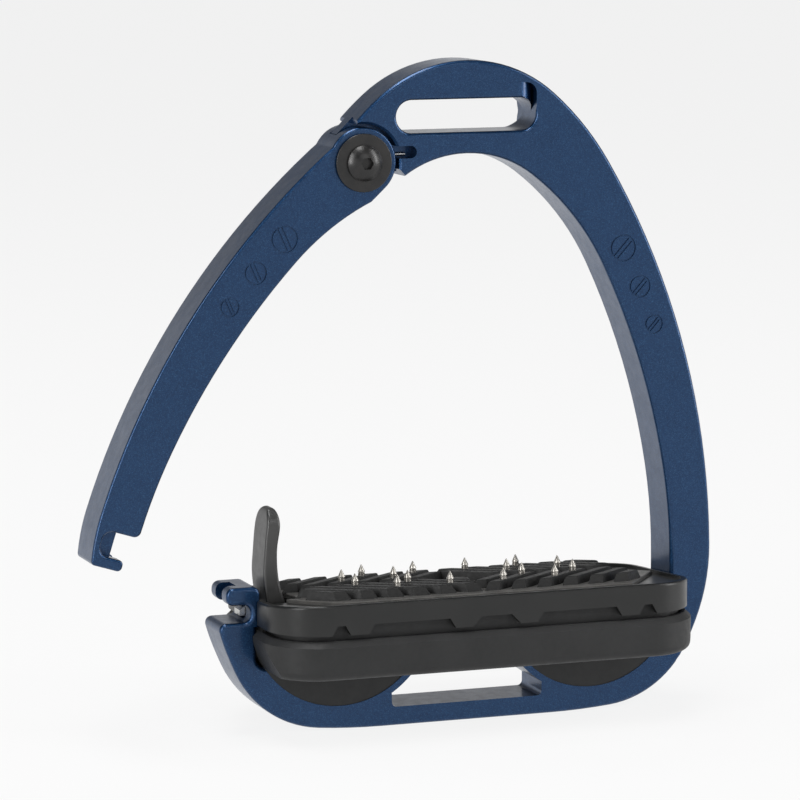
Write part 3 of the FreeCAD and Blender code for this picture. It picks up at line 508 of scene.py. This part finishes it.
# ---- light, floor and camera -------------------------------------------------------------------
WORLD_START = 0.10
WORLD_END = 0.40
WORLD_LOW = 0.9
WORLD_HIGH = 0.14
FLOOR_GLOW = 0.86
FLOOR_SIZE = 30.0
AIM = (0, 0, 0.08)           # middle of the object, where the lamps point
CAMERA_LENS = 182.2
CAMERA_PLACE = (-0.3846, -1.0044, 0.2396)
CAMERA_DOWN = 8.12
CAMERA_SIDE = 20.12
LAMPS = (("softbox_left", (-1.3, -0.7, 0.5), (0.35, 1.5), 15.0),
         ("softbox_right", (1.3, -0.6, 0.6), (0.35, 1.5), 14.0),
         ("softbox_top", (-0.2, 0.0, 1.4), (1.2, 0.5), 16.0),
         ("softbox_front", (0.2, -1.9, 1.3), (1.4, 0.5), 6.0))


def add_light(name, place, size, power):
    data = bpy.data.lights.new(name, "AREA")
    data.shape = "RECTANGLE"
    data.size, data.size_y = size
    data.energy = power
    lamp = bpy.data.objects.new(name, data)
    lamp.location = place
    lamp.rotation_euler = (Vector(AIM) - Vector(place)).to_track_quat("-Z", "Y").to_euler()
    bpy.context.scene.collection.objects.link(lamp)


def add_world():
    """Pale below the horizon like the sweep the object stands on, and a dim studio above it."""
    world = bpy.data.worlds.new("studio")
    world.use_nodes = True
    tree = world.node_tree
    split = tree.nodes.new("ShaderNodeSeparateXYZ")
    coords = tree.nodes.new("ShaderNodeTexCoord")
    tree.links.new(coords.outputs["Generated"], split.inputs["Vector"])
    ramp = tree.nodes.new("ShaderNodeMapRange")
    ramp.interpolation_type = "SMOOTHSTEP"
    limits = (("From Min", WORLD_START), ("From Max", WORLD_END),
              ("To Min", WORLD_LOW), ("To Max", WORLD_HIGH))
    for socket, value in limits:
        ramp.inputs[socket].default_value = value
    tree.links.new(split.outputs["Z"], ramp.inputs["Value"])
    sky = tree.nodes["Background"]
    sky.inputs["Color"].default_value = (1.0, 1.0, 1.0, 1.0)
    tree.links.new(ramp.outputs["Result"], sky.inputs["Strength"])
    bpy.context.scene.world = world


def add_floor():
    bm = bmesh.new()
    bmesh.ops.create_grid(bm, x_segments=1, y_segments=1, size=FLOOR_SIZE)
    mesh = bpy.data.meshes.new("floor")
    bm.to_mesh(mesh)
    bm.free()
    floor = bpy.data.objects.new("floor", mesh)
    bpy.context.scene.collection.objects.link(floor)
    mat = bpy.data.materials.new("pale_floor")
    mat.use_nodes = True
    bsdf = mat.node_tree.nodes["Principled BSDF"]
    bsdf.inputs["Base Color"].default_value = (0.08, 0.08, 0.08, 1.0)
    bsdf.inputs["Roughness"].default_value = 0.9
    bsdf.inputs["Specular IOR Level"].default_value = 0.0
    bsdf.inputs["Emission Color"].default_value = (1.0, 1.0, 1.0, 1.0)
    bsdf.inputs["Emission Strength"].default_value = FLOOR_GLOW
    mesh.materials.append(mat)


def add_camera():
    data = bpy.data.cameras.new("camera")
    data.lens = CAMERA_LENS
    data.sensor_width = 36.0
    data.clip_end = 100.0
    camera = bpy.data.objects.new("camera", data)
    camera.location = CAMERA_PLACE
    camera.rotation_euler = (math.radians(90 - CAMERA_DOWN), 0.0, math.radians(-CAMERA_SIDE))
    bpy.context.scene.collection.objects.link(camera)
    bpy.context.scene.camera = camera


add_world()
add_floor()
for lamp_row in LAMPS:
    add_light(*lamp_row)
add_camera()
bpy.context.scene.view_settings.view_transform = "Standard"
